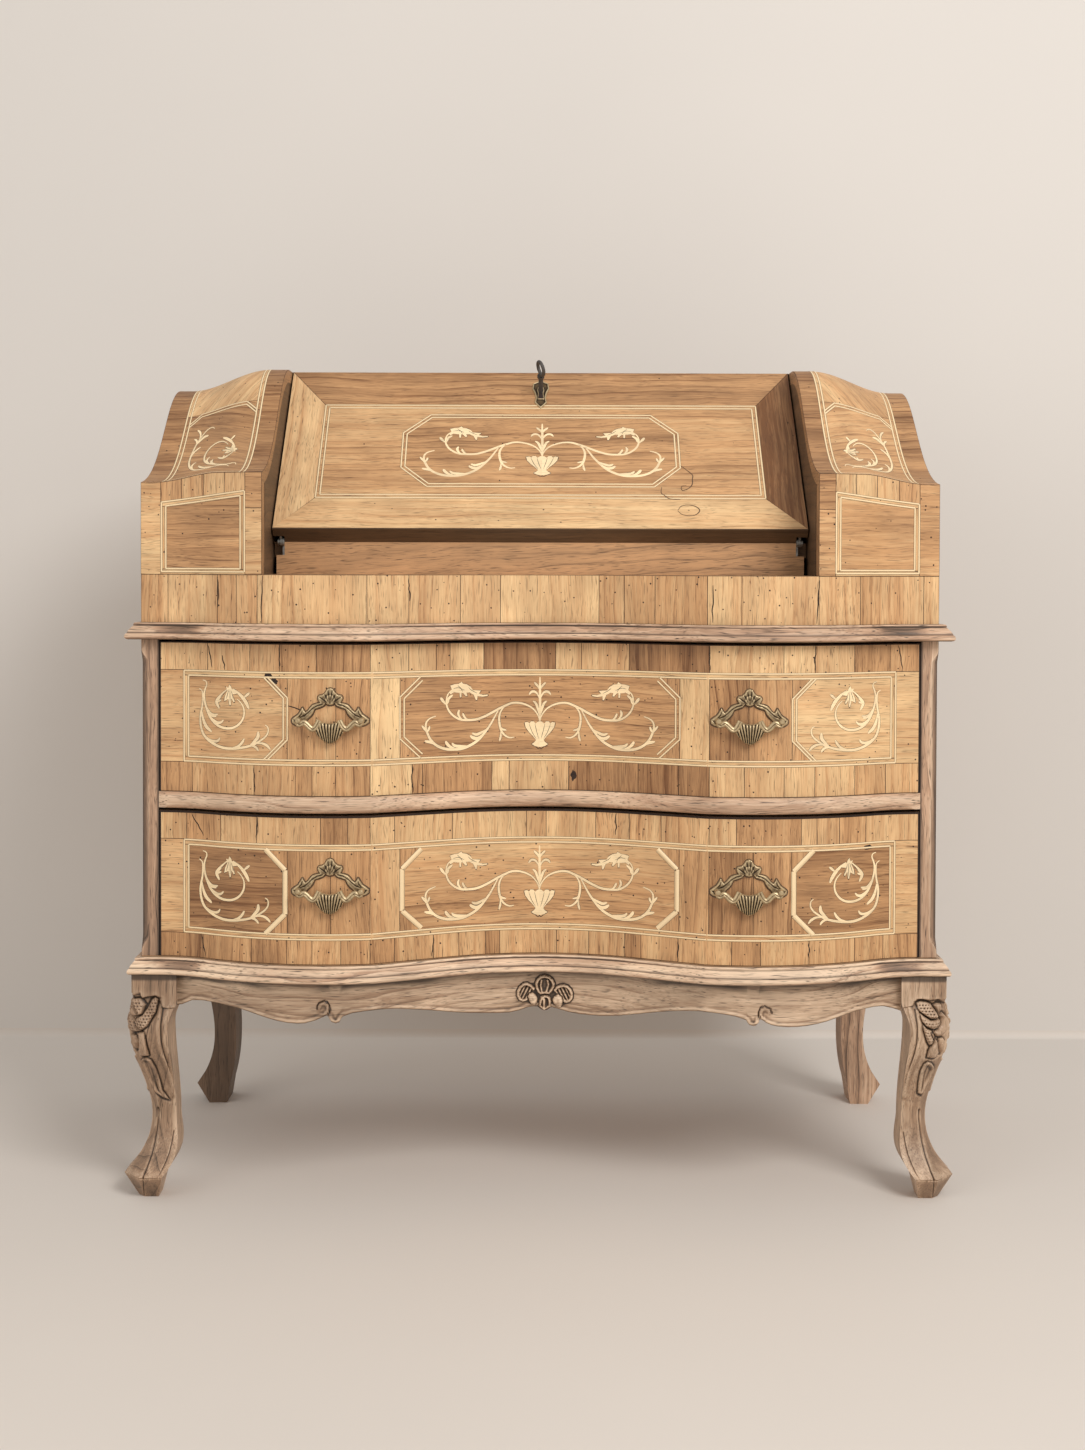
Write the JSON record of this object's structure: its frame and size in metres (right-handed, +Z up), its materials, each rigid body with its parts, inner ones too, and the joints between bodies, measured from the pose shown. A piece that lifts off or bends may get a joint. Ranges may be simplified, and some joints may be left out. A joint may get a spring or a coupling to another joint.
{
  "type": "writing desk",
  "caption": "Slant-front writing desk: serpentine drawers on cabriole legs, a hinged fall with lock and key between ogee cheeks, pigeonholes inside, brass bail handles.",
  "frame": {"origin": "on the floor, under the middle of the desk's box", "axes": "+Z up, +Y from the front to the back, +X to the right as seen from the front"},
  "size_m": [1.002, 0.497, 1.0275],
  "materials": {
    "walnut_veneer": "stripped walnut veneer, matt",
    "side_veneer": "plain walnut veneer, matt",
    "moulding_walnut": "bleached solid walnut, matt",
    "carved_walnut": "bleached carved walnut, matt",
    "interior_walnut": "waxed walnut",
    "plain_softwood": "raw softwood",
    "aged_brass": "aged cast brass",
    "blackened_iron": "blackened iron"
  },
  "bodies": {
    "case": {"apron_shell": "carved_walnut", "back_panel": "plain_softwood", "base_moulding_front": "moulding_walnut", "base_moulding_sides": "moulding_walnut", "bottom_board": "plain_softwood", "deck": "plain_softwood", "drawer_rail": "moulding_walnut", "drawer_runners": "plain_softwood", "frieze": "walnut_veneer", "front_apron": "carved_walnut", "front_left_leg": "carved_walnut", "front_right_leg": "carved_walnut", "hinge_plank": "walnut_veneer", "hinge_plates_fixed": "blackened_iron", "left_case_side": "side_veneer", "left_cheek_front": "walnut_veneer", "left_desk_side": "side_veneer", "left_partition": "interior_walnut", "left_post": "moulding_walnut", "left_shoulder": "walnut_veneer", "pigeonholes": "interior_walnut", "rear_left_leg": "carved_walnut", "rear_rail": "plain_softwood", "rear_right_leg": "carved_walnut", "right_case_side": "side_veneer", "right_cheek_front": "walnut_veneer", "right_desk_side": "side_veneer", "right_partition": "interior_walnut", "right_post": "moulding_walnut", "right_shoulder": "walnut_veneer", "side_aprons": "side_veneer", "top_board": "walnut_veneer", "waist_board": "plain_softwood", "waist_moulding_front": "moulding_walnut", "waist_moulding_sides": "moulding_walnut", "writing_bed": "interior_walnut"},
    "fall": {"fall_panel": "walnut_veneer", "fall_top_rail": "walnut_veneer", "fall_bottom_rail": "walnut_veneer", "fall_right_stile": "walnut_veneer", "fall_left_stile": "walnut_veneer", "hinge_plates_turning": "blackened_iron", "lock_case": "blackened_iron", "escutcheon": "blackened_iron"},
    "key": {"key": "blackened_iron"},
    "lock_bolt": {"lock_bolt": "blackened_iron"},
    "upper_drawer": {"upper_drawer_front": "walnut_veneer", "upper_drawer_sides": "plain_softwood", "upper_drawer_back": "plain_softwood", "upper_drawer_bottom": "plain_softwood", "upper_handle_plates": "aged_brass"},
    "upper_right_bail": {"upper_right_bail": "aged_brass"},
    "upper_left_bail": {"upper_left_bail": "aged_brass"},
    "lower_drawer": {"lower_drawer_front": "walnut_veneer", "lower_drawer_sides": "plain_softwood", "lower_drawer_back": "plain_softwood", "lower_drawer_bottom": "plain_softwood", "lower_handle_plates": "aged_brass"},
    "lower_right_bail": {"lower_right_bail": "aged_brass"},
    "lower_left_bail": {"lower_left_bail": "aged_brass"}
  },
  "joints": [
    {"name": "fall_hinge", "type": "hinge", "parent": "case", "child": "fall", "pos_m": [0, -0.1345, 0.7905], "axis": [1, 0, 0], "range_deg": [0, 133.3]},
    {"name": "key_turn", "type": "hinge", "parent": "fall", "child": "key", "pos_m": [0, 0.0386, 0.97419], "axis": [0, -0.7278, 0.6858], "range_deg": [0, 180]},
    {"name": "bolt_throw", "type": "slide", "parent": "fall", "child": "lock_bolt", "axis": [0, 0.6858, 0.7278], "range_m": [0, 0.006]},
    {"name": "upper_drawer_slide", "type": "slide", "parent": "case", "child": "upper_drawer", "axis": [0, -1, 0], "range_m": [0, 0.3]},
    {"name": "upper_right_bail_swing", "type": "hinge", "parent": "upper_drawer", "child": "upper_right_bail", "pos_m": [0.2465, -0.2405, 0.58015], "axis": [-1, 0, 0], "range_deg": [0, 120]},
    {"name": "upper_left_bail_swing", "type": "hinge", "parent": "upper_drawer", "child": "upper_left_bail", "pos_m": [-0.2465, -0.2405, 0.58015], "axis": [-1, 0, 0], "range_deg": [0, 120]},
    {"name": "lower_drawer_slide", "type": "slide", "parent": "case", "child": "lower_drawer", "axis": [0, -1, 0], "range_m": [0, 0.3]},
    {"name": "lower_right_bail_swing", "type": "hinge", "parent": "lower_drawer", "child": "lower_right_bail", "pos_m": [0.2465, -0.2405, 0.37915], "axis": [-1, 0, 0], "range_deg": [0, 120]},
    {"name": "lower_left_bail_swing", "type": "hinge", "parent": "lower_drawer", "child": "lower_left_bail", "pos_m": [-0.2465, -0.2405, 0.37915], "axis": [-1, 0, 0], "range_deg": [0, 120]}
  ],
  "couplings": [
    {"joint": "key_turn", "follows": "bolt_throw", "rad_per_m": 523.59}
  ]
}
